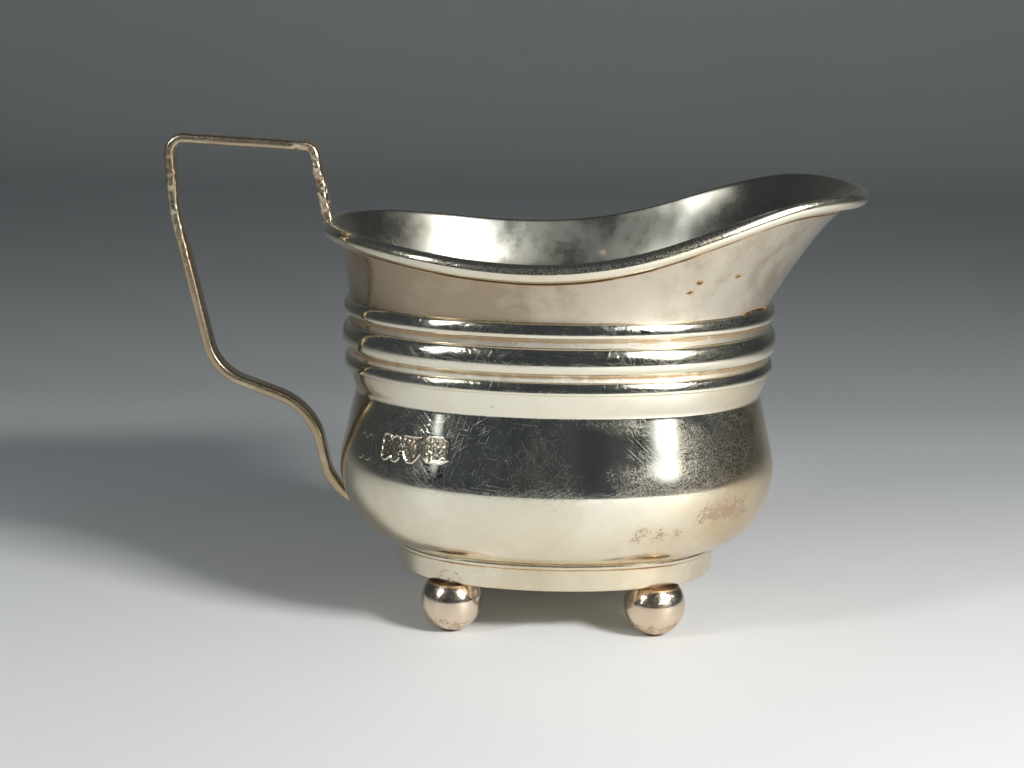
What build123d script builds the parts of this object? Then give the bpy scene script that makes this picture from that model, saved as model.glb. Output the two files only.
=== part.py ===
from build123d import *
from math import atan2, cos, degrees, hypot, pi, radians, sin
import os

# Small oblong silver cream jug on four ball feet.
#
# Millimetres, +Z up.  The origin is on the table, in the middle of the jug's overall length and width.
# The lip points along +X and the handle stands at -X; the jug is symmetric about the Y = 0 plane.

os.makedirs("parts", exist_ok=True)

# ---------------------------------------------------------------- driving dimensions

# Overall reach of the handle and of the lip from the body's own upright axis.
handle_reach = 69.9
lip_reach = 53.7
body_x = (handle_reach - lip_reach) / 2

# Plan of the body: a round-ended oval made of two end arcs and two flatter side arcs.  Every level of
# the body is a parallel curve of the same oval, so it is given by its half length alone.
end_centre = 8.8
length_over_width = 7.2
side_centre = (
    length_over_width
    * (2 * end_centre - length_over_width)
    / (2 * (end_centre - length_over_width))
)
joint_angle = degrees(atan2(side_centre, end_centre))

# Sheet silver.
body_wall = 0.8
neck_wall = 0.9

# Levels, counted from the table.
ring_bottom = 9.0
bowl_bottom = 13.8
belly_level = 27.2
upper_belly_level = 28.9
waist_level = 41.2
shoulder_level = 45.6
shell_seam = 50.9
neck_level = 57.3
lip_level = 77.4

# Half lengths of the body at those levels.
floor_reach = 26.6
belly_reach = 38.8
waist_reach = 35.85
shoulder_reach = 37.3

# Radii that soften the side view where the belly turns inwards, at the waist and at the shoulder.
wall_radii = [14.0, 2.4, 3.0]

# Girdle: three applied wires, each given by its lower and upper edge, its stand-out and how far up it
# its crown lies.
girdle = {
    "lower_reed": (45.0, 47.3, 0.75, 0.2),
    "middle_band": (48.5, 53.1, 1.25, 0.34),
    "upper_reed": (54.5, 57.3, 0.9, 0.28),
}

# Foot ring with a narrow bead along its top, base plate and feet.
ring_top_reach = 28.8
ring_bottom_reach = 28.4
ring_wall = 1.1
ring_bead_foot = 12.9
ring_bead_stand_out = 0.3
plate_thickness = 0.8
foot_radius = 5.4
foot_centre_level = 5.35
foot_x = 17.8
foot_y = 14.6

# Rim wire and handle strap.
rim_wire_width = 3.0
rim_wire_stand_out = 1.35
strap_width = 4.6
strap_thickness = 1.8
strap_edge = 0.6

# How far a piece is drawn on past the surface it is then cut back to.
overrun = 1.0

# Thickness of the solder line between the neck and the girdle wires, and between the neck and the rim.
solder_gap = 0.05
rim_solder_gap = 0.08


# ---------------------------------------------------------------- placing helpers


def level(z):
    """The horizontal plane at height z, centred on the body's axis."""
    return Plane((body_x, 0, z))


def side_view(y=0.0):
    """The upright plane seen from -Y: its x runs along +X and its y runs up."""
    return Plane(origin=(body_x, y, 0), x_dir=(1, 0, 0), z_dir=(0, -1, 0))


def oval_edges(reach):
    """The four arcs of the body's oval with the given half length, for use in a BuildLine."""
    end_radius = reach - end_centre
    side_radius = reach - length_over_width + side_centre
    side_arc = 180 - 2 * joint_angle
    CenterArc((end_centre, 0), end_radius, -joint_angle, 2 * joint_angle)
    CenterArc((0, -side_centre), side_radius, joint_angle, side_arc)
    CenterArc((-end_centre, 0), end_radius, 180 - joint_angle, 2 * joint_angle)
    CenterArc((0, side_centre), side_radius, 180 + joint_angle, side_arc)


def turn_round_oval(draw_profile):
    """Carry a profile round the body's oval, inside a BuildPart.

    draw_profile(shift) draws the closed profile in a BuildLine, with its horizontal distances counted
    as half length plus shift.  Each arc of the oval is a part turn about that arc's own upright axis.
    """
    side_arc = 180 - 2 * joint_angle
    turns = [
        ((end_centre, 0), -joint_angle, 2 * joint_angle, -end_centre),
        ((0, -side_centre), joint_angle, side_arc, side_centre - length_over_width),
        ((-end_centre, 0), 180 - joint_angle, 2 * joint_angle, -end_centre),
        ((0, side_centre), 180 + joint_angle, side_arc, side_centre - length_over_width),
    ]
    for (x, y), start, arc, shift in turns:
        centre = (body_x + x, y, 0)
        direction = (cos(radians(start)), sin(radians(start)), 0)
        normal = (sin(radians(start)), -cos(radians(start)), 0)
        with BuildSketch(Plane(origin=centre, x_dir=direction, z_dir=normal)) as profile:
            with BuildLine():
                draw_profile(shift)
            make_face()
        revolve(profile.sketch, axis=Axis(centre, (0, 0, 1)), revolution_arc=arc)


def bowl_curve(shift, inset=0.0):
    """Outer face of the lower body, or with an inset its inner face, from the floor up to the seam."""
    belly = EllipticalCenterArc(
        (floor_reach + shift, belly_level),
        belly_reach - floor_reach - inset,
        belly_level - bowl_bottom - inset,
        start_angle=-90,
        arc_size=90,
    )
    wall = FilletPolyline(
        belly @ 1,
        (belly_reach + shift - inset, upper_belly_level),
        (waist_reach + shift - inset, waist_level),
        (shoulder_reach + shift - inset, shoulder_level),
        (shoulder_reach + shift - inset, shell_seam),
        radius=wall_radii,
    )
    return belly, wall


# ---------------------------------------------------------------- lower body


def bowl_wall_profile(shift):
    outer_foot, outer_top = bowl_curve(shift)
    inner_foot, inner_top = bowl_curve(shift, body_wall)
    Line(outer_foot @ 0, inner_foot @ 0)
    Line(outer_top @ 1, inner_top @ 1)


with BuildPart() as body_lower:
    turn_round_oval(bowl_wall_profile)
    with BuildSketch(level(bowl_bottom)):
        with BuildLine():
            oval_edges(floor_reach)
        make_face()
    extrude(amount=body_wall)

body_lower.part.label = "body_lower"
export_step(body_lower.part, "parts/body_lower.step")


# ---------------------------------------------------------------- girdle wires


def wire_profile(low, high, stand_out, crown):
    """Profile of a rounded wire that lies against the body's upright girdle, fullest near its foot."""

    def draw(shift):
        reach = shoulder_reach + shift
        crown_level = low + crown * (high - low)
        under = EllipticalCenterArc(
            (reach, crown_level), stand_out, crown_level - low, start_angle=-90, arc_size=90
        )
        over = EllipticalCenterArc(
            (reach, crown_level), stand_out, high - crown_level, start_angle=0, arc_size=90
        )
        Line(over @ 1, under @ 0)

    return draw


for name, (low, high, stand_out, crown) in girdle.items():
    with BuildPart() as girdle_wire:
        turn_round_oval(wire_profile(low, high, stand_out, crown))
    girdle_wire.part.label = name
    export_step(girdle_wire.part, f"parts/{name}.step")


# ---------------------------------------------------------------- neck and lip

# How far the neck opens from its foot to its edge, towards the handle, the sides and the lip.
handle_opening = 3.8
handle_edge_level = 70.7
side_opening = 4.8
side_edge_level = 73.8
lip_slope = 0.66
lip_bend = 1.0
lip_curl = 3.7


def smooth_step(value):
    """Ease from 0 to 1 as value goes from 0 to 1."""
    value = min(max(value, 0.0), 1.0)
    return value * value * (3 - 2 * value)


def handle_flare(z):
    """How far the neck has opened towards the handle at height z."""
    rise = max(z - neck_level, 0.0) / (handle_edge_level - neck_level)
    return handle_opening * rise**2


def side_flare(z):
    """How far the neck has opened towards each side at height z."""
    return side_opening * smooth_step((z - neck_level) / (side_edge_level - neck_level))


def lip_flare(z):
    """How far the neck has opened towards the lip at height z: an even flare and a curl at the edge."""
    rise = max(z - neck_level, 0.0)
    curl = lip_curl * (rise / (lip_level - neck_level)) ** 6
    return lip_slope * (hypot(rise, lip_bend) - lip_bend) + curl


def neck_reach(angle, z):
    """Half length of the oval that passes through the neck's face at this height and plan direction."""
    ahead = lip_flare(z) if cos(angle) > 0 else handle_flare(z)
    flare = ahead * cos(angle) ** 2 + side_flare(z) * sin(angle) ** 2
    return shoulder_reach - solder_gap + flare


def oval_centre(angle):
    """Centre of the oval's arc that faces the given direction, and what its radius adds to the reach."""
    if abs(sin(angle)) < sin(radians(joint_angle)):
        return (end_centre if cos(angle) > 0 else -end_centre), 0.0, -end_centre
    centre_y = -side_centre if sin(angle) > 0 else side_centre
    return 0.0, centre_y, side_centre - length_over_width


def neck_point(angle, z, inset=0.0):
    """Point of the neck's face at height z where its plan faces the given angle from +X."""
    centre_x, centre_y, extra = oval_centre(angle)
    radius = neck_reach(angle, z) - inset + extra
    return (centre_x + radius * cos(angle), centre_y + radius * sin(angle))


# The side view of the mouth runs past both ends of the neck, and the cut above it clears the lip.
mouth_start = -52.0
mouth_end = 64.0
cut_top = 90.0
cut_half_width = 50.0


def rim_line():
    """Side view of the mouth: highest at the lip, lowest in the middle, rising again to the handle."""
    return Spline(
        (mouth_start, 70.9),
        (-41.0, 70.6),
        (-22.0, 68.4),
        (-4.0, 67.1),
        (16.0, 69.9),
        (31.0, 74.9),
        (43.0, 77.7),
        (54.0, 77.2),
        (mouth_end, 75.2),
    )


plan_points = 40
plan_angles = [2 * pi * step / plan_points for step in range(plan_points)]
flare_levels = [neck_level, 59.1, 61.1, 63.3, 65.5, 67.7, 69.9, 72.0, 74.0, 75.9, 77.6, 79.2]


def neck_plan(z, inset):
    """Closed plan curve of the neck at height z, for use in a BuildLine."""
    return Spline(*[neck_point(angle, z, inset) for angle in plan_angles], periodic=True)


def neck_body(inset=0.0):
    """The solid inside the neck's outer face, or with an inset inside its inner face."""
    with BuildPart(mode=Mode.PRIVATE) as filled:
        for z in flare_levels:
            with BuildSketch(level(z)):
                with BuildLine():
                    neck_plan(z, inset)
                make_face()
        loft()
        with BuildSketch(level(shell_seam)):
            with BuildLine():
                neck_plan(neck_level, inset)
            make_face()
        extrude(amount=neck_level - shell_seam)
    return filled.part


neck_outside = neck_body()
neck_inside = neck_body(neck_wall)

with BuildPart() as neck_and_lip:
    add(neck_outside)
    add(neck_inside, mode=Mode.SUBTRACT)
    with BuildSketch(side_view()):
        with BuildLine():
            mouth = rim_line()
            Polyline(mouth @ 1, (mouth_end, cut_top), (mouth_start, cut_top), mouth @ 0)
        make_face()
    extrude(amount=cut_half_width, both=True, mode=Mode.SUBTRACT)

neck_and_lip.part.label = "neck_and_lip"
export_step(neck_and_lip.part, "parts/neck_and_lip.step")


# ---------------------------------------------------------------- rim wire

with BuildLine(mode=Mode.PRIVATE) as rim_reference:
    rim_line()

rim_curve = rim_reference.edges()[0]
halving_steps = 40


def rim_height(x):
    """Height of the mouth's edge at distance x along the body."""
    low, high = 0.0, 1.0
    for _ in range(halving_steps):
        middle = (low + high) / 2
        if (rim_curve @ middle).X < x:
            low = middle
        else:
            high = middle
    return (rim_curve @ low).Y


def edge_height(angle):
    """Height of the mouth's outer edge where the plan faces the given angle."""
    z = handle_edge_level
    for _ in range(halving_steps):
        z = rim_height(neck_point(angle, z)[0])
    return z


def wire_foot(angle, top):
    """Height of the wire's lower edge: one wire width down the neck's face from its upper edge."""
    low, high = top - rim_wire_width, top
    for _ in range(halving_steps):
        middle = (low + high) / 2
        down_face = hypot(top - middle, neck_reach(angle, top) - neck_reach(angle, middle))
        if down_face > rim_wire_width:
            low = middle
        else:
            high = middle
    return low


half_turn = [pi * step / (plan_points / 2) for step in range(plan_points // 2 + 1)]

with BuildPart() as rim_wire:
    for angle in half_turn:
        centre_x, centre_y, extra = oval_centre(angle)
        section = Plane(
            origin=(body_x + centre_x, centre_y, 0),
            x_dir=(cos(angle), sin(angle), 0),
            z_dir=(sin(angle), -cos(angle), 0),
        )
        edge_z = edge_height(angle)
        foot_z = wire_foot(angle, edge_z)
        upper = Vector(neck_reach(angle, edge_z) + extra + rim_solder_gap, edge_z)
        lower = Vector(neck_reach(angle, foot_z) + extra + rim_solder_gap, foot_z)
        outward = Vector(edge_z - foot_z, lower.X - upper.X).normalized()
        crown = (upper + lower) / 2 + outward * rim_wire_stand_out
        with BuildSketch(section):
            with BuildLine():
                ThreePointArc(lower, crown, upper)
                Line(upper, lower)
            make_face()
    loft()
    mirror(about=Plane.XZ)

rim_wire.part.label = "rim_wire"
export_step(rim_wire.part, "parts/rim_wire.step")


# ---------------------------------------------------------------- foot ring and base plate


def ring_profile(shift):
    """Nearly upright foot wall with a bead at its top, later cut back to the underside of the bowl."""
    wall_foot = (ring_bottom_reach + shift, ring_bottom)
    bead_foot = (ring_top_reach - ring_bead_stand_out / 2 + shift, ring_bead_foot)
    bead_side = (ring_top_reach + ring_bead_stand_out + shift, (ring_bead_foot + bowl_bottom) / 2)
    bead_top = (ring_top_reach + ring_bead_stand_out / 2 + shift, bowl_bottom + overrun)
    inner_top = (ring_top_reach - ring_wall + shift, bowl_bottom + overrun)
    inner_foot = (ring_bottom_reach - ring_wall + shift, ring_bottom)
    bead = Spline(bead_foot, bead_side, bead_top)
    Line(wall_foot, bead @ 0)
    Polyline(bead @ 1, inner_top, inner_foot, wall_foot)


# Half length of the hollow left in the middle of the block that other pieces are fitted against.
block_core_reach = 16.8


def bowl_block_profile(shift):
    """The bowl's outer face with solid metal behind it, used to fit other pieces to the bowl."""
    foot, top = bowl_curve(shift)
    core = block_core_reach + shift
    Polyline(top @ 1, (core, shell_seam), (core, bowl_bottom), foot @ 0)


with BuildPart() as bowl_block:
    turn_round_oval(bowl_block_profile)

with BuildPart() as foot_ring:
    turn_round_oval(ring_profile)
    add(bowl_block.part, mode=Mode.SUBTRACT)

foot_ring.part.label = "foot_ring"
export_step(foot_ring.part, "parts/foot_ring.step")

with BuildPart() as base_plate:
    with BuildSketch(level(ring_bottom)):
        with BuildLine():
            oval_edges(ring_bottom_reach - ring_wall)
        make_face()
    extrude(amount=plate_thickness)

base_plate.part.label = "base_plate"
export_step(base_plate.part, "parts/base_plate.step")


# ---------------------------------------------------------------- ball feet

foot_places = {
    "foot_front_left": (-foot_x, -foot_y),
    "foot_front_right": (foot_x, -foot_y),
    "foot_back_left": (-foot_x, foot_y),
    "foot_back_right": (foot_x, foot_y),
}

for name, (x, y) in foot_places.items():
    with BuildPart() as foot:
        with Locations((body_x + x, y, foot_centre_level)):
            Sphere(foot_radius)
        split(bisect_by=Plane.XY, keep=Keep.TOP)
        split(bisect_by=Plane.XY.offset(ring_bottom), keep=Keep.BOTTOM)
    foot.part.label = name
    export_step(foot.part, f"parts/{name}.step")


# ---------------------------------------------------------------- handle strap

# Centre line of the strap in the side view, from the mouth's edge over the top and down to the belly.
strap_corners = [
    (-40.9, 69.6),
    (-43.7, 83.2),
    (-69.2, 84.4),
    (-68.4, 71.8),
    (-61.4, 42.9),
    (-44.0, 36.5),
    (-41.1, 24.6),
    (-38.3, 20.5),
    (-33.2, 17.5),
]
strap_radii = [1.9, 2.6, 40.0, 9.5, 12.0, 7.0, 9.0]

tail_top = 26.0
tail_foot = 12.0
tail_root_x = -42.0
tail_tip_x = -34.6
tail_cut_end_x = -30.6
tail_tip_half_width = 0.35

with BuildPart() as handle_strap:
    with BuildLine(side_view()):
        strap_path = FilletPolyline(*strap_corners, radius=strap_radii)
    with BuildSketch(Plane(origin=strap_path @ 0, x_dir=(0, 1, 0), z_dir=strap_path % 0)):
        RectangleRounded(strap_width, strap_thickness, strap_edge)
    sweep(path=strap_path)
    with BuildSketch(level(tail_foot)):
        for side in (-1, 1):
            with BuildLine():
                Polyline(
                    (tail_root_x, side * strap_width / 2),
                    (tail_tip_x, side * tail_tip_half_width),
                    (tail_cut_end_x, side * tail_tip_half_width),
                    (tail_cut_end_x, side * strap_width),
                    (tail_root_x, side * strap_width),
                    (tail_root_x, side * strap_width / 2),
                )
            make_face()
    extrude(amount=tail_top - tail_foot, mode=Mode.SUBTRACT)
    add(bowl_block.part, mode=Mode.SUBTRACT)
    add(neck_and_lip.part, mode=Mode.SUBTRACT)
    add(rim_wire.part, mode=Mode.SUBTRACT)

handle_strap.part.label = "handle_strap"
export_step(handle_strap.part, "parts/handle_strap.step")
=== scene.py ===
import math

import bmesh
import bpy
from mathutils import Matrix, Vector, noise


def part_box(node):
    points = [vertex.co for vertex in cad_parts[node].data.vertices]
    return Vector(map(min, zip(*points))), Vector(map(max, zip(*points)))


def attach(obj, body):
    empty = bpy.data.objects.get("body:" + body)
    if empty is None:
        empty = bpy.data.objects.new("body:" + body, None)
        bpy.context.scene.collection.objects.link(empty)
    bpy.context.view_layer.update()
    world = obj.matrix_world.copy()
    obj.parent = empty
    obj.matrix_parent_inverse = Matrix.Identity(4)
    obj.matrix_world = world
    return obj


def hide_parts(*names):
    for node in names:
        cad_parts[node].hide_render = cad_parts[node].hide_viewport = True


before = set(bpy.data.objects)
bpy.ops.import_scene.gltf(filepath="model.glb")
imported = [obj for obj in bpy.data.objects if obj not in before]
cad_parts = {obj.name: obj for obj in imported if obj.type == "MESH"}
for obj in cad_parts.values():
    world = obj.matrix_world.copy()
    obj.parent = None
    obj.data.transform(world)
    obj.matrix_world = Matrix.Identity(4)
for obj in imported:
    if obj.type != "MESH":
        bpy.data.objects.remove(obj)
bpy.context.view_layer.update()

# The jug is drawn in millimetres about the body's own upright axis, then placed in the row frame.
MM = 0.001
body_low, body_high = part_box("body_lower")
ring_low, ring_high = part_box("foot_ring")
strap_low, strap_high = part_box("handle_strap")
AXIS_X = (body_low.x + body_high.x) / 2 / MM

# ---------------------------------------------------------------- dimensions of the body

END_CENTRE = 8.8
LENGTH_OVER_WIDTH = 7.2
SIDE_CENTRE = LENGTH_OVER_WIDTH * (END_CENTRE - LENGTH_OVER_WIDTH / 2) / (END_CENTRE - LENGTH_OVER_WIDTH)
JOINT_ANGLE = math.atan2(SIDE_CENTRE, END_CENTRE)

BOWL_BOTTOM = body_low.z / MM
SEAM = body_high.z / MM
BELLY_REACH = (body_high.x - body_low.x) / 2 / MM
BELLY_LEVEL = 27.2
FLOOR_REACH = 26.6
WAIST_REACH = 36.0
WAIST_LEVEL = 41.2
SHOULDER_REACH = 37.3
SHOULDER_LEVEL = 45.6
NECK_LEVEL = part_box("upper_reed")[1].z / MM
WALL = 0.9
TURN = 2 * math.pi


def plan_centre(angle):
    """Centre of the oval's arc that faces the given direction, and what its radius adds to the reach."""
    if abs(math.sin(angle)) < math.sin(JOINT_ANGLE):
        return (END_CENTRE if math.cos(angle) > 0 else -END_CENTRE), 0.0, -END_CENTRE
    return 0.0, (-SIDE_CENTRE if math.sin(angle) > 0 else SIDE_CENTRE), SIDE_CENTRE - LENGTH_OVER_WIDTH


def oval_point(angle, reach, z):
    """Point of the oval with this half length, where it faces the given angle from +X."""
    cx, cy, extra = plan_centre(angle)
    radius = reach + extra
    return Vector((cx + radius * math.cos(angle), cy + radius * math.sin(angle), z))


def smooth_step(value):
    value = min(max(value, 0.0), 1.0)
    return value * value * (3 - 2 * value)


def ramp(value, start, stop):
    """0 at start, 1 at stop and smooth between them, in either direction."""
    return smooth_step((value - start) / (stop - start))


def bell(value, centre, spread):
    """1 at the centre, falling off smoothly to both sides."""
    return math.exp(-(((value - centre) / spread) ** 2))


# ---------------------------------------------------------------- mesh helpers


def place(point):
    return Vector(((point[0] + AXIS_X) * MM, point[1] * MM, point[2] * MM))


def mesh_object(name, points, faces, marks, inside=None):
    """A mesh in the row frame from points in millimetres.

    marks are (dirt and painted shade, film, pits) for each point; inside is 1 for each point of the jug's
    hollow side.
    """
    mesh = bpy.data.meshes.new(name)
    mesh.from_pydata([place(p) for p in points], [], faces)
    mesh.validate()
    bm = bmesh.new()
    bm.from_mesh(mesh)
    bmesh.ops.recalc_face_normals(bm, faces=bm.faces)
    bm.to_mesh(mesh)
    bm.free()
    layer = mesh.attributes.new("wear_and_shade", "FLOAT_COLOR", "POINT")
    values = []
    for mark in marks:
        values += [*mark, 1.0]
    layer.data.foreach_set("color", values)
    hollow = mesh.attributes.new("hollow_side", "FLOAT", "POINT")
    hollow.data.foreach_set("value", inside or [0.0] * len(points))
    for polygon in mesh.polygons:
        polygon.use_smooth = True
    made = bpy.data.objects.new(name, mesh)
    bpy.context.scene.collection.objects.link(made)
    return made


def tube_skin(rings, closed_along):
    """Points and faces over rings of equal length: each ring closes on itself, and the row may close."""
    count, around = len(rings), len(rings[0])
    points = [p for ring in rings for p in ring]
    faces = []
    for i in range(count if closed_along else count - 1):
        a, b = i * around, ((i + 1) % count) * around
        for j in range(around):
            k = (j + 1) % around
            faces.append((a + j, a + k, b + k, b + j))
    if not closed_along:
        faces.append(tuple(range(around)))
        faces.append(tuple(range((count - 1) * around, count * around)))
    return points, faces


def tube(name, rings, closed_along, marks, inside=None):
    points, faces = tube_skin(rings, closed_along)
    return mesh_object(name, points, faces, marks, inside)


PATCH_STEPS = 56
PATCH_DEPTH = 0.25


def patch_skin(half_u, half_v, surface, relief, first):
    """Closed fine patch over a surface, with its own relief, as points, faces and marks.

    surface(u, v) gives the point and the outward direction; relief(u, v) the height and the marks.
    """
    top, bottom, marks = [], [], []
    for i in range(PATCH_STEPS + 1):
        for j in range(PATCH_STEPS + 1):
            u = half_u * (2 * i / PATCH_STEPS - 1)
            v = half_v * (2 * j / PATCH_STEPS - 1)
            at, out = surface(u, v)
            height, mark = relief(u, v)
            top.append(at + out * height)
            bottom.append(at - out * PATCH_DEPTH)
            marks.append(mark)
    row = PATCH_STEPS + 1
    under = first + len(top)
    faces = []
    for i in range(PATCH_STEPS):
        for j in range(PATCH_STEPS):
            a, b = i * row + j, (i + 1) * row + j
            faces.append((first + a, first + b, first + b + 1, first + a + 1))
            faces.append((under + a, under + a + 1, under + b + 1, under + b))
    last = PATCH_STEPS * row
    for i in range(PATCH_STEPS):
        end = i * row + row - 1
        borders = [(i, i + 1), (last + i, last + i + 1), (i * row, i * row + row), (end, end + row)]
        for a, b in borders:
            faces.append((first + a, first + b, under + b, under + a))
    return top + bottom, faces, marks + marks


PLAN_STEPS = 384
PLAN_ANGLES = [TURN * (j + 0.5) / PLAN_STEPS for j in range(PLAN_STEPS)]


def carried_round(profile):
    """The profile of (reach, z) points carried round the oval, one ring for each profile point."""
    return [[oval_point(angle, reach, z) for angle in PLAN_ANGLES] for reach, z in profile]


def turned(name, profile, marks):
    """Closed profile carried round the oval, with one mark for each profile point."""
    return tube(name, carried_round(profile), True, [mark for mark in marks for _ in PLAN_ANGLES])


def nearness(point, centre, radii):
    """1 at the centre of a soft ellipsoid patch, falling to 0 outside it."""
    return math.exp(-sum(((point[i] - centre[i]) / radii[i]) ** 2 for i in range(3)))


def strongest(point, patches):
    """Strength at a point of the strongest of several soft patches, each (centre, radii, strength)."""
    return max(strength * nearness(point, centre, radii) for centre, radii, strength in patches)


# ---------------------------------------------------------------- body profile

UPPER_TILT = math.radians(12.2)
SWELL_TILT = math.radians(1.5)
SWELL_LEVEL = 31.9
SWELL_SPREAD = 1.8
CONCAVE_TILT = math.radians(24.0)
BELLY_ROUNDING = 1.7
TURN_OVER_HALF = 0.7
LEVEL_STEP = 0.2
LOWER_STEPS = 60
GIRDLE_STEPS = 20


def wall_tilt(z):
    """How far the wall leans from upright at height z above the belly: inwards is positive."""
    inwards = UPPER_TILT * (1 - math.exp(-(z - BELLY_LEVEL) / BELLY_ROUNDING))
    inwards += SWELL_TILT * bell(z, SWELL_LEVEL, SWELL_SPREAD)
    outwards = CONCAVE_TILT * (SHOULDER_LEVEL - z) / (SHOULDER_LEVEL - WAIST_LEVEL)
    turn_over = ramp(z, WAIST_LEVEL - TURN_OVER_HALF, WAIST_LEVEL + TURN_OVER_HALF)
    return inwards * (1 - turn_over) - max(outwards, 0.0) * turn_over


def upper_wall():
    """Outer face from the belly's widest level to the shoulder, scaled to meet the waist and shoulder."""
    steps = round((SHOULDER_LEVEL - BELLY_LEVEL) / LEVEL_STEP)
    levels = [BELLY_LEVEL + (SHOULDER_LEVEL - BELLY_LEVEL) * i / steps for i in range(steps + 1)]
    drop = [0.0]
    for low, high in zip(levels, levels[1:]):
        drop.append(drop[-1] + math.tan(wall_tilt((low + high) / 2)) * (high - low))
    lowest = max(range(len(drop)), key=lambda i: drop[i])
    inward = (BELLY_REACH - WAIST_REACH) / drop[lowest]
    outward = (SHOULDER_REACH - WAIST_REACH) / (drop[lowest] - drop[-1])
    profile = []
    for i, z in enumerate(levels):
        if i <= lowest:
            reach = BELLY_REACH - drop[i] * inward
        else:
            reach = WAIST_REACH + (drop[lowest] - drop[i]) * outward
        profile.append((reach, z))
    return profile


def lower_wall():
    """Outer face from the flat floor out to the belly's widest level, a quarter of an ellipse."""
    profile = []
    for i in range(LOWER_STEPS):
        turn = math.pi / 2 * i / LOWER_STEPS
        reach = FLOOR_REACH + (BELLY_REACH - FLOOR_REACH) * math.sin(turn)
        profile.append((reach, BELLY_LEVEL - (BELLY_LEVEL - BOWL_BOTTOM) * math.cos(turn)))
    return profile


def inset_profile(profile, depth):
    """The profile moved inwards by depth along its own normals."""
    moved = []
    for i, (reach, z) in enumerate(profile):
        before, after = profile[max(i - 1, 0)], profile[min(i + 1, len(profile) - 1)]
        along = Vector((after[0] - before[0], after[1] - before[1])).normalized()
        moved.append((reach - along.y * depth, z + along.x * depth))
    return moved


outer_wall = lower_wall() + upper_wall()
inner_wall = inset_profile(outer_wall, WALL)
for i in range(1, GIRDLE_STEPS + 1):
    outer_wall.append((SHOULDER_REACH, SHOULDER_LEVEL + (SEAM - SHOULDER_LEVEL) * i / GIRDLE_STEPS))
inner_wall.append((SHOULDER_REACH - WALL, SEAM))
floor_reaches = [11.0, 16.0, 21.0]
under_floor = [(reach, BOWL_BOTTOM) for reach in floor_reaches]
over_floor = [(reach, BOWL_BOTTOM + WALL) for reach in reversed(floor_reaches)]
bowl_profile = under_floor + outer_wall + inner_wall[::-1] + over_floor
outside_count = len(under_floor) + len(outer_wall)
bowl_rings = carried_round(bowl_profile)
bowl_points, bowl_faces = tube_skin(bowl_rings, closed_along=False)

# Wear of the bowl. Each patch is its centre, its radii in mm and its strength.
WIRE_FEET = [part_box(node)[0].z / MM for node in ("middle_band", "upper_reed")]
LINE_DIRT = 0.48
LINE_DROP = 0.3
LINE_SPREAD = 0.36
BOWL_PITS = [
    ((29.0, -21.0, 24.2), (9.0, 10.0, 3.2), 1.0),
    ((17.0, -27.5, 21.0), (10.0, 6.0, 2.6), 0.75),
    ((-13.0, -26.0, 21.5), (7.0, 6.0, 2.5), 0.45),
]
BOWL_STAIN = [((31.0, -18.0, 24.0), (14.0, 14.0, 6.0), 0.7)]
HOLLOW_MARK = (0.1, 0.7, 0.2)


def under_wires(z):
    """Narrow line of dirt just below the two upper girdle wires."""
    return max(LINE_DIRT * bell(z, foot - LINE_DROP, LINE_SPREAD) for foot in WIRE_FEET)


def bowl_mark(point, outside):
    """Dirt under the girdle wires and above the ring, film at the ends, pits low on the lip side."""
    if not outside:
        return HOLLOW_MARK
    dirt = max(0.2 * ramp(point.z, 15.5, 14.5), under_wires(point.z))
    lip_end = 0.75 * ramp(point.x, 22.0, 34.0)
    handle_end = 0.35 * ramp(point.x, -24.0, -34.0)
    low = 0.3 * ramp(point.z, 25.0, 17.0)
    film = max(lip_end, handle_end) + low + strongest(point, BOWL_STAIN)
    return dirt, min(1.0, film), strongest(point, BOWL_PITS)


bowl_marks = []
for i, ring in enumerate(bowl_rings):
    bowl_marks += [bowl_mark(point, i < outside_count) for point in ring]

# Four struck marks near the handle, left blank: each a raised outline round a darker field.
UPPER_WALL = upper_wall()


def wall_reach(z):
    """Half length of the belly's outer face at height z, read off its side view."""
    for (reach_0, z_0), (reach_1, z_1) in zip(UPPER_WALL, UPPER_WALL[1:]):
        if z <= z_1:
            return reach_0 + (reach_1 - reach_0) * (z - z_0) / (z_1 - z_0)
    return UPPER_WALL[-1][0]


def belly_surface(angle, level):
    """Surface function of the belly round the given plan direction and height, for patch_skin."""

    def surface(u, v):
        z = level + v * math.cos(UPPER_TILT)
        reach = wall_reach(z)
        turn = angle + u / (reach + plan_centre(angle)[2])
        lean = math.cos(UPPER_TILT)
        out = Vector((math.cos(turn) * lean, math.sin(turn) * lean, math.sin(UPPER_TILT)))
        return oval_point(turn, reach, z), out

    return surface


def lobed_outline(u, v):
    """Signed distance in mm to an outline with three lobes on each side: negative inside."""
    lobes = [math.hypot(abs(u) - 1.15, abs(v) - side) - 1.05 for side in (0.0, 1.2)]
    return min(lobes + [max(abs(u) - 1.3, abs(v) - 1.6)])


def shield_outline(u, v):
    """Signed distance to a shield with a pointed foot."""
    half = 1.8 if v > -0.6 else 1.8 - 0.47 * (-0.6 - v) ** 1.6
    return max((abs(u) - half) * 0.85, v - 2.1, -v - 2.4)


def cut_corner_outline(u, v):
    """Signed distance to an upright oblong with its corners cut off."""
    return max(abs(u) - 2.0, abs(v) - 2.2, (abs(u) + abs(v) - 3.6) / math.sqrt(2))


HIDDEN_DEPTH = 0.05
OUTLINE_SPREAD = 0.17
OUTLINE_LIFT = 0.21
FIELD_EDGE = 0.25
FIELD_LIFT = 0.07
FIELD_GRAIN = 0.09
GRAIN_PITCH = 2.3
STRUCK_HALF_WIDTH = 2.8
STRUCK_HALF_HEIGHT = 3.3


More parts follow.
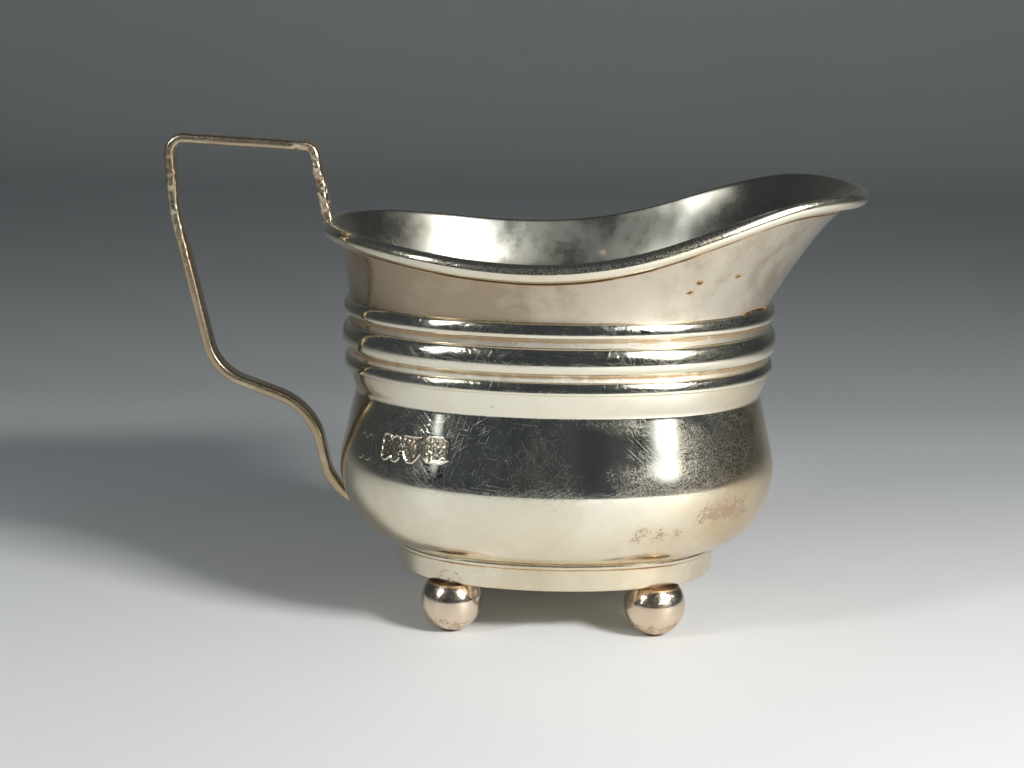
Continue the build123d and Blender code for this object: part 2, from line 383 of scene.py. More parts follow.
def struck_relief(outline, strength):
    """Raised rim along the outline, a lower uneven field inside it and nothing beyond."""

    def relief(u, v):
        gap = outline(u, v)
        rim = bell(gap, 0.0, OUTLINE_SPREAD)
        inside = smooth_step(-gap / FIELD_EDGE)
        grain = noise.noise(Vector((u * GRAIN_PITCH, v * GRAIN_PITCH, strength * 9.0)))
        lift = OUTLINE_LIFT * rim + inside * (FIELD_LIFT + FIELD_GRAIN * max(grain, 0.0))
        dirt = 0.2 * inside * (1 - rim) * (0.6 - grain)
        return strength * lift - HIDDEN_DEPTH, (dirt, 0.6 * inside, 0.0)

    return relief


# Plan direction, height, outline and depth of strike.
struck_marks = [
    (math.radians(228.0), 34.0, lobed_outline, 1.0),
    (math.radians(237.0), 34.4, shield_outline, 1.0),
    (math.radians(246.4), 34.7, cut_corner_outline, 1.0),
    (math.radians(214.0), 33.0, lobed_outline, 0.42),
]
for angle, level, outline, strength in struck_marks:
    surface = belly_surface(angle, level)
    relief = struck_relief(outline, strength)
    extra_points, extra_faces, extra_marks = patch_skin(
        STRUCK_HALF_WIDTH, STRUCK_HALF_HEIGHT, surface, relief, len(bowl_points)
    )
    bowl_points += extra_points
    bowl_faces += extra_faces
    bowl_marks += extra_marks

bowl_inside = [0.0 if i < outside_count else 1.0 for i in range(len(bowl_rings)) for _ in PLAN_ANGLES]
bowl_inside += [0.0] * (len(bowl_points) - len(bowl_inside))
bowl = mesh_object("bowl", bowl_points, bowl_faces, bowl_marks, bowl_inside)
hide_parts("body_lower")

# ---------------------------------------------------------------- girdle

ELLIPSE_STEPS = 14
WIRE_ROOT = 0.3
WIRE_FOOT_DIRT = 0.35
WIRE_FOOT_SHARE = 0.08
WIRE_FILM = 0.1
WIRE_PITS = 0.1


def drooping_reed(low, high, stand_out, crown):
    """Profile of a wire whose crown is low on it: (reach, z) points from its foot over to its top."""
    points = []
    crown_z = low + (high - low) * crown
    for i in range(ELLIPSE_STEPS + 1):
        turn = math.pi / 2 * i / ELLIPSE_STEPS
        points.append((stand_out * math.sin(turn), crown_z - (crown_z - low) * math.cos(turn)))
    for i in range(1, ELLIPSE_STEPS + 1):
        turn = math.pi / 2 * i / ELLIPSE_STEPS
        points.append((stand_out * math.cos(turn), crown_z + (high - crown_z) * math.sin(turn)))
    return points


reed_crowns = {"lower_reed": 0.2, "middle_band": 0.34, "upper_reed": 0.28}
for node, crown in reed_crowns.items():
    low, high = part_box(node)
    stand_out = (high.x - low.x) / 2 / MM - SHOULDER_REACH
    section = drooping_reed(low.z / MM, high.z / MM, stand_out, crown)
    profile = [(SHOULDER_REACH + out, z) for out, z in section]
    root = SHOULDER_REACH - WIRE_ROOT
    profile = [(root, profile[0][1])] + profile + [(root, profile[-1][1])]
    height = (high.z - low.z) / MM
    marks = []
    for _, z in profile:
        up = (z - low.z / MM) / height
        dirt = WIRE_FOOT_DIRT * max(1.0 - up / WIRE_FOOT_SHARE, 0.0)
        marks.append((dirt, WIRE_FILM, WIRE_PITS))
    wire = turned(node + "_wire", profile, marks)
    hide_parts(node)

# ---------------------------------------------------------------- neck and lip

HANDLE_OPENING = 3.8
HANDLE_EDGE_LEVEL = 70.7
SIDE_OPENING = 4.8
SIDE_EDGE_LEVEL = 73.8
LIP_LEVEL = 77.4
LIP_SLOPE = 0.66
LIP_BEND = 1.0
LIP_CURL = 3.7
LIP_CURL_POWER = 6


def neck_reach(angle, z):
    """Half length of the oval that passes through the neck's face at this height and plan direction."""
    rise = max(z - NECK_LEVEL, 0.0)
    handle = HANDLE_OPENING * (rise / (HANDLE_EDGE_LEVEL - NECK_LEVEL)) ** 2
    side = SIDE_OPENING * smooth_step(rise / (SIDE_EDGE_LEVEL - NECK_LEVEL))
    lip = LIP_SLOPE * (math.hypot(rise, LIP_BEND) - LIP_BEND)
    lip += LIP_CURL * (rise / (LIP_LEVEL - NECK_LEVEL)) ** LIP_CURL_POWER
    ahead = lip if math.cos(angle) > 0 else handle
    return SHOULDER_REACH + ahead * math.cos(angle) ** 2 + side * math.sin(angle) ** 2


# Side view of the mouth's edge: distance along the body and height.
RIM_POINTS = [
    (-52.0, 70.9),
    (-41.0, 70.6),
    (-22.0, 68.4),
    (-4.0, 67.1),
    (16.0, 69.9),
    (31.0, 74.9),
    (43.0, 77.7),
    (54.0, 77.2),
    (64.0, 75.2),
]


def curve_bends(points):
    """Second slopes of the natural cubic spline through the points, for rim_height."""
    count = len(points)
    gaps = [points[i + 1][0] - points[i][0] for i in range(count - 1)]
    rises = [(points[i + 1][1] - points[i][1]) / gaps[i] for i in range(count - 1)]
    bends = [0.0] * count
    upper, right = [0.0] * count, [0.0] * count
    for i in range(1, count - 1):
        pivot = 2 * (gaps[i - 1] + gaps[i]) - gaps[i - 1] * upper[i - 1]
        upper[i] = gaps[i] / pivot
        right[i] = (6 * (rises[i] - rises[i - 1]) - gaps[i - 1] * right[i - 1]) / pivot
    for i in range(count - 2, 0, -1):
        bends[i] = right[i] - upper[i] * bends[i + 1]
    return bends


RIM_BENDS = curve_bends(RIM_POINTS)


def rim_height(x):
    """Height of the mouth's edge at distance x along the body."""
    for i in range(len(RIM_POINTS) - 1):
        (x0, z0), (x1, z1) = RIM_POINTS[i], RIM_POINTS[i + 1]
        if x <= x1 or i == len(RIM_POINTS) - 2:
            gap = x1 - x0
            a, b = (x1 - x) / gap, (x - x0) / gap
            bend = (a**3 - a) * RIM_BENDS[i] + (b**3 - b) * RIM_BENDS[i + 1]
            return a * z0 + b * z1 + bend * gap * gap / 6


SEARCH_ROUNDS = 30


def edge_height(angle, inset=0.0):
    """Height of the mouth's edge where the plan faces the given angle."""
    z = HANDLE_EDGE_LEVEL
    for _ in range(SEARCH_ROUNDS):
        z = rim_height(oval_point(angle, neck_reach(angle, z) - inset, z).x)
    return z


NECK_ROWS = 56
neck_rings, neck_marks = [], []
edge_out = [edge_height(angle) for angle in PLAN_ANGLES]
edge_in = [edge_height(angle, WALL) for angle in PLAN_ANGLES]

RIM_WIDTH = 3.1
RIM_STAND_OUT = 1.45
RIM_SUNK_DEPTH = 0.45
# Dark line under the rim wire: tarnish in the joint and painted shade beneath the wire's overhang.
RIM_LINE_DIRT_AND_SHADE = 1.3
RIM_LINE_DROP = 0.12
RIM_LINE_SPREAD = 0.24
SPECK_RADII = (0.6, 1.5, 0.3)
SPECK_CENTRES = [(29.8, -23.6, 64.8), (23.3, -27.0, 64.0), (21.8, -26.9, 62.3)]
NECK_SPECKS = [(centre, SPECK_RADII, 1.5) for centre in SPECK_CENTRES]
NECK_STAIN = [((34.0, -15.0, 57.2), (2.6, 6.0, 0.6), 2.2)]
NECK_PITS = [((26.0, -26.0, 63.5), (10.0, 6.0, 4.0), 0.35)]
COPPER_SPECK = [((7.9, 28.6, 61.6), (0.8, 1.5, 0.6), 0.65)]


def neck_mark(point, edge):
    """Dirt along the girdle; a dark line under the rim wire, tarnish in the joint and painted shade below
    the wire's overhang; film thickest at the handle; a few dark specks.
    """
    below_rim = edge - RIM_WIDTH - point.z
    under_rim = RIM_LINE_DIRT_AND_SHADE * bell(below_rim, RIM_LINE_DROP, RIM_LINE_SPREAD)
    in_girdle = under_wires(point.z)
    if point.z > NECK_LEVEL - 0.1:
        in_girdle = 0.25 * ramp(point.z, NECK_LEVEL + 0.5, NECK_LEVEL)
    film = 0.42 + 0.7 * ramp(point.x, 24.0, -30.0) + 0.1 * ramp(point.x, 27.0, 39.0)
    film *= 0.4 + 0.6 * ramp(point.z, NECK_LEVEL - 1.0, NECK_LEVEL + 0.5)
    stain = strongest(point, NECK_STAIN)
    dirt = max(under_rim, in_girdle, stain, strongest(point, NECK_SPECKS))
    return dirt, film, max(0.12 + strongest(point, NECK_PITS), 0.5 * stain)


def inner_neck_mark(point):
    """The inside is cloudiest at the handle and in the lip, with one copper-coloured speck."""
    film = 0.12 + 0.3 * ramp(point.x, -10.0, -26.0) + 0.35 * ramp(point.x, 18.0, 32.0)
    return strongest(point, COPPER_SPECK), film, 0.12


def add_neck_ring(make):
    ring, marks = [], []
    for j, angle in enumerate(PLAN_ANGLES):
        reach, z, outside = make(j, angle)
        point = oval_point(angle, reach, z)
        ring.append(point)
        marks.append(neck_mark(point, edge_out[j]) if outside else inner_neck_mark(point))
    neck_rings.append(ring)
    neck_marks.extend(marks)


EDGE_GAP = 0.15
EDGE_CROWN = 0.12


def outside_row(share):
    def make(j, angle):
        z = SEAM + (edge_out[j] - SEAM) * share
        return neck_reach(angle, z), z, True

    return make


def inside_row(share):
    def make(j, angle):
        z = SEAM + (edge_in[j] - EDGE_GAP - SEAM) * share
        return neck_reach(angle, z) - WALL, z, False

    return make


def edge_row(share):
    def make(j, angle):
        crown = EDGE_CROWN * math.sin(math.pi * share)
        z = edge_out[j] + (edge_in[j] - edge_out[j]) * share + crown
        return neck_reach(angle, z) - WALL * share, z, False

    return make


for i in range(NECK_ROWS + 1):
    add_neck_ring(outside_row(i / NECK_ROWS))
for share in (0.2, 0.4, 0.6, 0.8, 0.92):
    add_neck_ring(edge_row(share))
for i in range(NECK_ROWS, -1, -1):
    add_neck_ring(inside_row(i / NECK_ROWS))
first_inside = len(neck_rings) - NECK_ROWS - 1
neck_inside = [0.0 if i < first_inside else 1.0 for i in range(len(neck_rings)) for _ in PLAN_ANGLES]
neck = tube("neck", neck_rings, True, neck_marks, neck_inside)
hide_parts("neck_and_lip")

# ---------------------------------------------------------------- rim wire

RIM_SECTION = 28
RIM_FOOT_DIRT_AND_SHADE = 1.1


def rim_section(angle, edge):
    """Closed section of the rim wire across the neck's face, with its marks."""
    top = Vector((neck_reach(angle, edge), edge))
    low, high = edge - RIM_WIDTH, edge
    for _ in range(SEARCH_ROUNDS):
        middle = (low + high) / 2
        if math.hypot(edge - middle, top.x - neck_reach(angle, middle)) > RIM_WIDTH:
            low = middle
        else:
            high = middle
    foot = Vector((neck_reach(angle, low), low))
    along = (top - foot).normalized()
    outward = Vector((along.y, -along.x))
    centre = (top + foot) / 2
    points, marks = [], []
    for i in range(RIM_SECTION):
        turn = TURN * i / RIM_SECTION
        out, up = math.cos(turn), math.sin(turn)
        depth = RIM_STAND_OUT if out > 0 else RIM_SUNK_DEPTH
        at = centre + outward * out * depth + along * up * RIM_WIDTH / 2
        points.append(oval_point(angle, at.x, at.y))
        # Dark lower edge of the wire where it meets the neck: tarnish in the joint and painted shade.
        dirt = RIM_FOOT_DIRT_AND_SHADE * ramp(up, -0.9, -1.0) if out > -0.5 else 0.0
        marks.append((dirt, 0.25, 0.1))
    return points, marks


rim_rings, rim_marks = [], []
for j, angle in enumerate(PLAN_ANGLES):
    section, values = rim_section(angle, edge_out[j])
    rim_rings.append(section)
    rim_marks.extend(values)
rim = tube("rim_bead", rim_rings, True, rim_marks)
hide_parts("rim_wire")

# ---------------------------------------------------------------- foot ring and base plate

RING_BOTTOM = ring_low.z / MM
BEAD_REACH = (ring_high.x - ring_low.x) / 2 / MM
RING_REACH = BEAD_REACH - 0.44
RING_WALL = 1.1
# Half length, height above the ring's foot, dirt; from the outer lower edge up over the bead and back.
ring_outline = [
    (RING_REACH - 0.75, 0.0, 0.3),
    (RING_REACH - 0.52, 0.05, 0.3),
    (RING_REACH - 0.42, 0.22, 0.15),
    (RING_REACH - 0.38, 0.6, 0.0),
    (RING_REACH - 0.28, 1.8, 0.0),
    (RING_REACH - 0.18, 3.1, 0.0),
    (RING_REACH - 0.12, 3.7, 0.2),
    (RING_REACH - 0.08, 3.9, 0.5),
    (RING_REACH + 0.12, 3.98, 0.5),
    (RING_REACH + 0.3, 4.12, 0.2),
    (RING_REACH + 0.4, 4.4, 0.0),
    (RING_REACH + 0.34, 4.75, 0.0),
    (RING_REACH + 0.16, 5.0, 0.4),
    (RING_REACH - 0.1, 5.12, 0.95),
    (RING_REACH - RING_WALL - 0.3, 5.0, 0.95),
    (RING_REACH - RING_WALL, 4.4, 0.8),
    (RING_REACH - RING_WALL - 0.3, 0.1, 0.7),
    (RING_REACH - RING_WALL - 0.1, 0.0, 0.6),
]
ring_rings = carried_round([(reach, RING_BOTTOM + up) for reach, up, _ in ring_outline])
ring_points, ring_faces = tube_skin(ring_rings, closed_along=True)
ring_marks = [(dirt, 0.3, 0.25) for _, _, dirt in ring_outline for _ in PLAN_ANGLES]

# A lifted, uneven repair low on the ring above the front left foot.
REPAIR_ANGLE = math.radians(242.0)
REPAIR_LEVEL = 10.5
REPAIR_HALF_WIDTH = 3.4
REPAIR_HALF_HEIGHT = 1.4
REPAIR_LIFT = 0.13
RING_LEAN = math.radians(-4.6)
RING_MIDDLE_INSET = 0.31
RING_MIDDLE_LEVEL = 10.8


def ring_surface(u, v):
    below_middle = RING_MIDDLE_LEVEL - REPAIR_LEVEL - v
    reach = RING_REACH - RING_MIDDLE_INSET + math.tan(RING_LEAN) * below_middle
    turn = REPAIR_ANGLE + u / (reach - END_CENTRE)
    lean = math.cos(RING_LEAN)
    out = Vector((math.cos(turn) * lean, math.sin(turn) * lean, math.sin(RING_LEAN)))
    return oval_point(turn, reach, REPAIR_LEVEL + v), out


def repair_relief(u, v):
    ragged = 0.3 * noise.noise(Vector((u * 0.8, v * 0.8, 4.0)))
    ragged += 0.12 * noise.noise(Vector((u * 3, v * 3, 8.0)))
    gap = (math.hypot(u / 2.5, (v + 0.35) / 1.25) - 1 + ragged) * 1.1
    inside = smooth_step(-gap / 0.12)
    crack = bell(gap, 0.02, 0.09) if v > -0.4 else 0.0
    lumps = 0.05 * noise.noise(Vector((u * 1.6, v * 1.6, 2.0)))
    return inside * (REPAIR_LIFT + lumps) - HIDDEN_DEPTH, (crack, 0.25 * inside, 0.5 * inside)


extra_points, extra_faces, extra_marks = patch_skin(
    REPAIR_HALF_WIDTH, REPAIR_HALF_HEIGHT, ring_surface, repair_relief, len(ring_points)
)
ring_points += extra_points
ring_faces += extra_faces
ring_marks += extra_marks
ring = mesh_object("base_ring", ring_points, ring_faces, ring_marks)
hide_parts("foot_ring")

# ---------------------------------------------------------------- ball feet

feet = {
    "foot_front_left": "ball_front_left",
    "foot_front_right": "ball_front_right",
    "foot_back_left": "ball_back_left",
    "foot_back_right": "ball_back_right",
}
FOOT_FLAT = 0.72
FOOT_ROWS = 48
FOOT_TURNS = 72
FOOT_FILM = 0.35
for node, piece in feet.items():
    low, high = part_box(node)
    centre_x = (low.x + high.x) / 2 / MM - AXIS_X
    centre_y = (low.y + high.y) / 2 / MM
    radius = (high.x - low.x) / 2 / MM
    base, top = low.z / MM, high.z / MM
    centre_z = base + math.sqrt(radius**2 - FOOT_FLAT**2)
    lowest, highest = math.asin((base - centre_z) / radius), math.asin((top - centre_z) / radius)
    rings, marks = [], []
    for i in range(FOOT_ROWS + 1):
        rise = lowest + (highest - lowest) * i / FOOT_ROWS
        across, up = radius * math.cos(rise), math.sin(rise)
        turns = [TURN * j / FOOT_TURNS for j in range(FOOT_TURNS)]
        centre = Vector((centre_x, centre_y, centre_z + radius * up))
        rings.append([centre + Vector((across * math.cos(a), across * math.sin(a), 0.0)) for a in turns])
        # Dark brown top of each ball: a painted reflection of the ring above it.
        top_painted_reflection = 0.9 * ramp(up, 0.55, 0.7)
        low_pits = 0.75 * ramp(up, -0.1, -0.6)
        marks += [(top_painted_reflection, FOOT_FILM, low_pits)] * FOOT_TURNS
    ball = tube(piece, rings, False, marks)
    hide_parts(node)

# ---------------------------------------------------------------- handle strap

STRAP_WIDTH = (strap_high.y - strap_low.y) / MM
STRAP_THICKNESS = 1.8
strap_corners = [
    (-40.9, 69.6),
    (-43.7, 83.2),
    (-69.2, 84.4),
    (-68.4, 71.8),
    (-61.4, 42.9),
    (-44.0, 36.5),
    (-41.1, 24.6),
    (-38.3, 20.5),
    (-33.2, 17.5),
]
strap_radii = [1.9, 2.6, 40.0, 9.5, 12.0, 7.0, 9.0]


def rounded_path(corners, radii, spacing):
    """Points along straight runs joined by arcs of the given radii, about one per spacing."""
    run = [Vector(corners[0])]
    for before, corner, after, radius in zip(corners, corners[1:], corners[2:], radii):
        before, corner, after = Vector(before), Vector(corner), Vector(after)
        came, goes = (corner - before).normalized(), (after - corner).normalized()
        turn = came.angle_signed(goes)
        back = radius * math.tan(abs(turn) / 2)
        start, stop = corner - came * back, corner + goes * back
        side = Vector((-came.y, came.x)) * (1 if came.cross(goes) > 0 else -1)
        centre = start + side * radius
        steps = max(4, round(radius * abs(turn) / spacing))
        first = start - centre
        for i in range(steps + 1):
            part = abs(turn) * i / steps * (1 if came.cross(goes) > 0 else -1)
            c, s = math.cos(part), math.sin(part)
            run.append(centre + Vector((first.x * c - first.y * s, first.x * s + first.y * c)))
    run.append(Vector(corners[-1]))
    even = [run[0]]
    for a, b in zip(run, run[1:]):
        pieces = max(1, round((b - a).length / spacing))
        even.extend(a.lerp(b, (i + 1) / pieces) for i in range(pieces))
    return even


STRAP_SPACING = 0.35
STRAP_TURNS = 40
SIDE_POWER = 0.4
FACE_POWER = 0.6
TAIL_NARROWING = 0.8
TAIL_THINNING = 0.35
FRONT_LEG_ROUGH = 0.42
OUTER_LEG_ROUGH = 0.16
strap_path = rounded_path(strap_corners, strap_radii, STRAP_SPACING)


def strap_rough(point):
    """Height of the lumps: strongest on the front leg above the rim, some high on the outer leg."""
    if point.y > 69 and point.x > -47:
        return FRONT_LEG_ROUGH
    if point.x < -62 and point.y > 62:
        return OUTER_LEG_ROUGH
    return 0.0


def strap_rings():
    """Sections of the strap: a flat oval with soft edges, worn rough in places."""
    rings, marks = [], []
    for i, point in enumerate(strap_path):
        before, after = strap_path[max(i - 1, 0)], strap_path[min(i + 1, len(strap_path) - 1)]
        along = (after - before).normalized()
        out = Vector((-along.y, along.x))
        tail = ramp(point.x, -42.0, -35.0) if point.y < 30 else 0.0
        half_width = STRAP_WIDTH / 2 * (1 - TAIL_NARROWING * tail)
        half_thick = STRAP_THICKNESS / 2 * (1 - TAIL_THINNING * tail)
        rough = strap_rough(point)
        ring = []
        for j in range(STRAP_TURNS):
            turn = TURN * j / STRAP_TURNS
            c, s = math.cos(turn), math.sin(turn)
            across = half_width * math.copysign(abs(c) ** SIDE_POWER, c)
            thick = half_thick * math.copysign(abs(s) ** FACE_POWER, s)
            spot = Vector((point.x + out.x * thick, across, point.y + out.y * thick))
            bump = noise.noise(spot * 0.9) * 0.6 + noise.noise(spot * 0.4) * 0.4
            lift = 0.05 * noise.noise(spot * 0.22) + rough * max(bump, -0.15)
            spot += Vector((out.x * s, c, out.y * s)) * lift
            ring.append(spot)
            film = min(1.0, 0.7 + 0.5 * noise.noise(spot * 0.12) - rough)
            marks.append((3.5 * rough * max(-bump, 0.0), film, 0.2 + rough))
        rings.append(ring)
    return rings, marks


rings, marks = strap_rings()
strap = tube("strap", rings, False, marks)
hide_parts("handle_strap")

# ---------------------------------------------------------------- materials


class Graph:
    """Small helper for building a shader node tree."""

    def __init__(self, name):
        self.material = bpy.data.materials.new(name)
        self.material.use_nodes = True
        self.tree = self.material.node_tree
        self.shader = self.tree.nodes["Principled BSDF"]

    def node(self, kind, **settings):
        made = self.tree.nodes.new(kind)
        for key, value in settings.items():
            setattr(made, key, value)
        return made

    def link(self, source, target):
        self.tree.links.new(source, target)

    def feed(self, target, value):
        if isinstance(value, bpy.types.NodeSocket):
            self.link(value, target)
        else:
            target.default_value = value

    def noise(self, vector, scale, detail=4.0, roughness=0.55, distortion=0.0):
        made = self.node("ShaderNodeTexNoise")
        self.feed(made.inputs["Vector"], vector)
        made.inputs["Scale"].default_value = scale
        made.inputs["Detail"].default_value = detail
        made.inputs["Roughness"].default_value = roughness
        made.inputs["Distortion"].default_value = distortion
        return made.outputs["Fac"]

    def range(self, value, low, high, to_low=0.0, to_high=1.0):
        """Smooth step from to_low, where the value is low, to to_high, where it is high."""
        made = self.node("ShaderNodeMapRange", interpolation_type="SMOOTHSTEP")
        self.feed(made.inputs["Value"], value)
        made.inputs["From Min"].default_value = low
        made.inputs["From Max"].default_value = high
        made.inputs["To Min"].default_value = to_low
        made.inputs["To Max"].default_value = to_high
        return made.outputs["Result"]

    def math(self, operation, a, b=0.0, clamp=False):
        made = self.node("ShaderNodeMath", operation=operation, use_clamp=clamp)
        self.feed(made.inputs[0], a)
        self.feed(made.inputs[1], b)
        return made.outputs[0]

    def plus(self, a, b, share, clamp=False):
        """a with a share of b added to it."""
        return self.math("ADD", a, self.math("MULTIPLY", b, share), clamp)

    def mix(self, factor, a, b):
        made = self.node("ShaderNodeMix", data_type="RGBA")
        self.feed(made.inputs["Factor"], factor)
        self.feed(made.inputs["A"], a)
        self.feed(made.inputs["B"], b)
        return made.outputs["Result"]

    def turned(self, vector, angles, sizes):
        """Coordinates in a turned frame, counted in units of the given sizes in metres."""
        made = self.node("ShaderNodeMapping", vector_type="TEXTURE")
        self.feed(made.inputs["Vector"], vector)
        made.inputs["Rotation"].default_value = angles
        made.inputs["Scale"].default_value = sizes
        return made.outputs["Vector"]


DUST = (0.05, 0.04, 0.03, 1.0)
TARNISH = (0.31, 0.33, 0.29, 1.0)
CRUST_AND_SHADE = (0.10, 0.06, 0.035, 1.0)
PIT_BROWN = (0.52, 0.38, 0.26, 1.0)

# Noise scales of the metal's patterns, in cycles for each metre.
BROAD_SCALE = 60.0
FINE_SCALE = 430.0
GRAIN_SCALE = 2600.0
SCUFF_SCALE = 11000.0
DENT_SCALE = 75.0
DUST_SCALE = 300.0
DUST_GROUP_SCALE = 110.0
WOBBLE_SCALE = 32.0
SCRATCH_GROUP_SCALE = 45.0

# Scratches: directions, size of one line in metres, noise levels where a line starts and is full.
SCRATCH_TURNS = [(0.2, 0.4, 0.3), (0.4, 1.0, -0.5), (-0.3, 1.7, 0.4), (0.1, 2.3, -0.2), (0.5, 2.9, 0.6)]
SCRATCH_SIZES = (0.00008, 0.012, 0.004)
SCRATCH_LEVELS = (0.64, 0.76)
WOBBLE_REACH = 0.003
SCRATCH_DEPTH = 0.0000045
DENT_DEPTH = 0.0006

# What each kind of wear adds to the roughness.
SCUFF_ROUGHNESS = 0.26
FILM_ROUGHNESS = 0.1
SCRATCH_ROUGHNESS = 0.14
DIRT_ROUGHNESS = 0.25
INSIDE_ROUGHNESS = (0.1, 0.26)
INSIDE_TARNISH = (0.35, 0.9)
INSIDE_CALM = 0.8
SCUFF_SPAN = 0.35


def dust_spots(g, place_at):
    """Rare dark specks in loose groups."""
    cell = g.node("ShaderNodeTexVoronoi", feature="F1")
    g.feed(cell.inputs["Vector"], place_at)
    cell.inputs["Scale"].default_value = DUST_SCALE
    groups = g.range(g.noise(place_at, DUST_GROUP_SCALE, 3.0), 0.58, 0.7)
    return g.math("MULTIPLY", g.range(cell.outputs["Distance"], 0.14, 0.07), groups)


def hairlines(g, place_at):
    """Fine scratches in several directions, slightly bent and denser in patches."""
    wobble = g.node("ShaderNodeTexNoise")
    g.feed(wobble.inputs["Vector"], place_at)
    wobble.inputs["Scale"].default_value = WOBBLE_SCALE
    wobble.inputs["Detail"].default_value = 2.0
    bend = g.node("ShaderNodeVectorMath", operation="SCALE")
    g.link(wobble.outputs["Color"], bend.inputs[0])
    bend.inputs["Scale"].default_value = WOBBLE_REACH
    bent = g.node("ShaderNodeVectorMath", operation="ADD")
    g.feed(bent.inputs[0], place_at)
    g.link(bend.outputs[0], bent.inputs[1])
    lines = None
    for angles in SCRATCH_TURNS:
        line = g.noise(g.turned(bent.outputs[0], angles, SCRATCH_SIZES), 1.0, 1.0, 0.5)
        line = g.range(line, *SCRATCH_LEVELS)
        lines = line if lines is None else g.math("MAXIMUM", lines, line)
    patches = g.range(g.noise(place_at, SCRATCH_GROUP_SCALE, 3.0), 0.36, 0.62, 0.35, 1.0)
    return g.math("MULTIPLY", lines, patches)


def bump(g, height, strength, depth):
    made = g.node("ShaderNodeBump")
    made.inputs["Strength"].default_value = strength
    made.inputs["Distance"].default_value = depth
    g.link(height, made.inputs["Height"])
    return made


def silver(name, clean, warm, brown, cloud, roughness, haze, scratch, dent):
    """Polished silver: warm film, brown dirt in the recesses, a dark crust that also paints shade under
    the rim wire and a reflection on top of the feet, pits, dust, scuffs and hairline scratches.

    cloud is how uneven the film is, haze the share of the face that is scuffed, scratch and dent are
    the strengths of the two bumps.
    """
    g = Graph(name)
    place_at = g.node("ShaderNodeTexCoord").outputs["Object"]
    wear_and_shade = g.node("ShaderNodeSeparateColor")
    g.link(g.node("ShaderNodeAttribute", attribute_name="wear_and_shade").outputs["Color"], wear_and_shade.inputs[0])
    dirt_and_shade_mark, film_mark, pit_mark = wear_and_shade.outputs[0], wear_and_shade.outputs[1], wear_and_shade.outputs[2]
    inside = g.node("ShaderNodeAttribute", attribute_name="hollow_side").outputs["Fac"]

    broad = g.noise(place_at, BROAD_SCALE, 5.0, 0.58, 0.6)
    fine = g.noise(place_at, FINE_SCALE, 5.0, 0.6)
    grain = g.noise(place_at, GRAIN_SCALE, 3.0, 0.6)
    scuff = g.noise(place_at, SCUFF_SCALE, 1.0, 0.5)
    cloudy = g.plus(broad, fine, 0.35)

    film = g.math("MULTIPLY", film_mark, g.math("ADD", g.math("MULTIPLY", broad, 0.9), 0.55))
    film = g.plus(film, g.range(g.plus(broad, fine, 0.3), 0.5, 0.85), cloud, clamp=True)
    # The dirt channel also carries painted shade under the rim wire and a painted reflection on top of
    # the feet; both reach the dark crust colour.
    uneven_dirt_and_shade = g.plus(dirt_and_shade_mark, g.math("SUBTRACT", fine, 0.5), 0.6)
    dirt = g.range(uneven_dirt_and_shade, 0.12, 0.5)
    crust_and_shade = g.range(uneven_dirt_and_shade, 0.58, 0.85)
    pitted = g.plus(g.plus(g.math("MULTIPLY", pit_mark, 0.34), fine, 0.45), grain, 0.5)
    pits = g.range(pitted, 0.70, 0.78)
    dust = dust_spots(g, place_at)

    colour = g.mix(film, clean, warm)
    tarnish = g.math("MULTIPLY", inside, g.range(cloudy, 0.45, 0.9, *INSIDE_TARNISH))
    colour = g.mix(tarnish, colour, TARNISH)
    colour = g.mix(dirt, colour, brown)
    colour = g.mix(crust_and_shade, colour, CRUST_AND_SHADE)
    colour = g.mix(pits, colour, PIT_BROWN)
    colour = g.mix(g.math("MULTIPLY", dust, 0.6), colour, DUST)
    g.link(colour, g.shader.inputs["Base Color"])

    polished = g.math("SUBTRACT", 1.0, g.math("MULTIPLY", inside, INSIDE_CALM))
    scratches = g.math("MULTIPLY", hairlines(g, place_at), polished)
    scuffed = g.math("GREATER_THAN", scuff, 0.5 + SCUFF_SPAN * (0.5 - haze))
    scuffed = g.math("MULTIPLY", scuffed, g.range(g.math("ADD", broad, film), 0.3, 0.9, 0.4, 1.0))
    scuffed = g.math("MULTIPLY", scuffed, polished)
    dull_inside = g.math("MULTIPLY", inside, g.range(cloudy, 0.45, 0.9, *INSIDE_ROUGHNESS))
    rough = g.math("ADD", g.plus(roughness, scuffed, SCUFF_ROUGHNESS), dull_inside)
    rough = g.plus(rough, film, FILM_ROUGHNESS)
    rough = g.plus(rough, scratches, SCRATCH_ROUGHNESS)
    rough = g.plus(rough, g.math("MAXIMUM", dirt, pits), DIRT_ROUGHNESS, clamp=True)
    g.link(rough, g.shader.inputs["Roughness"])
    g.shader.inputs["Metallic"].default_value = 1.0

    dents = bump(g, g.noise(place_at, DENT_SCALE, 2.0, 0.4), dent, DENT_DEPTH)
    sunk = g.plus(scratches, g.math("MAXIMUM", pits, dust), 1.5)
    lines = bump(g, g.math("SUBTRACT", g.math("MULTIPLY", grain, 0.25), sunk), scratch, SCRATCH_DEPTH)
    g.link(dents.outputs["Normal"], lines.inputs["Normal"])
    g.link(lines.outputs["Normal"], g.shader.inputs["Normal"])
    return g.material


